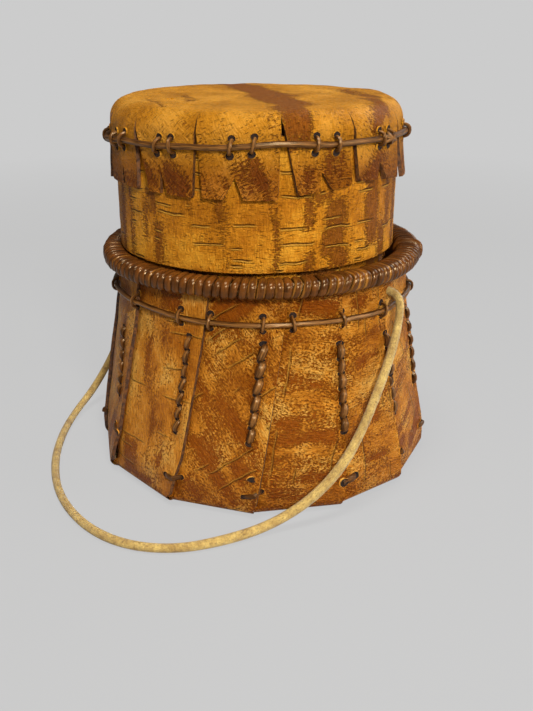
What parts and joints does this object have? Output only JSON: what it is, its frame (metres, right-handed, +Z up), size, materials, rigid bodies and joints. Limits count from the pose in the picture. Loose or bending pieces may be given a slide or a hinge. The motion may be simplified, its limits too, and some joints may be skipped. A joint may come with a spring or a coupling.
{
  "type": "birch bark box",
  "caption": "Round lidded container of folded, root-sewn birch bark with a root-wrapped rim, a lift-off plug lid with notched tabs and a carrying thong.",
  "frame": {"origin": "on the surface the box stands on, at the axis of the box", "axes": "+Z up along the axis, -Y towards the front, +X to the right"},
  "size_m": [0.1414, 0.1452, 0.1306],
  "materials": {
    "birch_bark": "golden inner side of birch bark, satin, worn by handling",
    "split_root": "thin split conifer root, dark brown, satin",
    "wrapping_root": "split conifer root in close turns, brown, polished by use",
    "hoop_wood": "peeled rod, matt",
    "rawhide": "pale rolled rawhide, dry and slightly fuzzy"
  },
  "bodies": {
    "box": {"bark_box": "birch_bark", "rim_hoop": "hoop_wood", "rim_wrapping_root": "wrapping_root", "wall_strand_root": "split_root", "wall_strand_lashing": "split_root", "seam_root_01": "split_root", "seam_root_02": "split_root", "seam_root_03": "split_root", "seam_root_04": "split_root", "seam_root_05": "split_root", "seam_root_06": "split_root", "seam_root_07": "split_root", "seam_root_08": "split_root", "seam_root_09": "split_root", "seam_root_10": "split_root", "seam_root_11": "split_root", "seam_root_12": "split_root", "seam_root_13": "split_root", "corner_tack_01": "split_root", "corner_tack_02": "split_root", "corner_tack_03": "split_root", "corner_tack_04": "split_root", "corner_tack_05": "split_root", "corner_tack_06": "split_root", "corner_tack_07": "split_root", "corner_tack_08": "split_root", "corner_tack_09": "split_root", "corner_tack_10": "split_root", "corner_tack_11": "split_root", "corner_tack_12": "split_root", "corner_tack_13": "split_root", "carrying_thong": "rawhide", "thong_knot_right": "rawhide", "thong_knot_left": "rawhide"},
    "lid": {"lid_top_bark": "birch_bark", "lid_band_bark": "birch_bark", "lid_band_seam_root": "split_root", "plug_sleeve_bark": "birch_bark", "plug_sleeve_seam_root": "split_root", "lid_strand_root": "split_root", "lid_strand_lashing": "split_root"}
  },
  "joints": [
    {"name": "lid_lift", "type": "slide", "parent": "box", "child": "lid", "axis": [0, 0, 1], "range_m": [0, 0.08]}
  ]
}
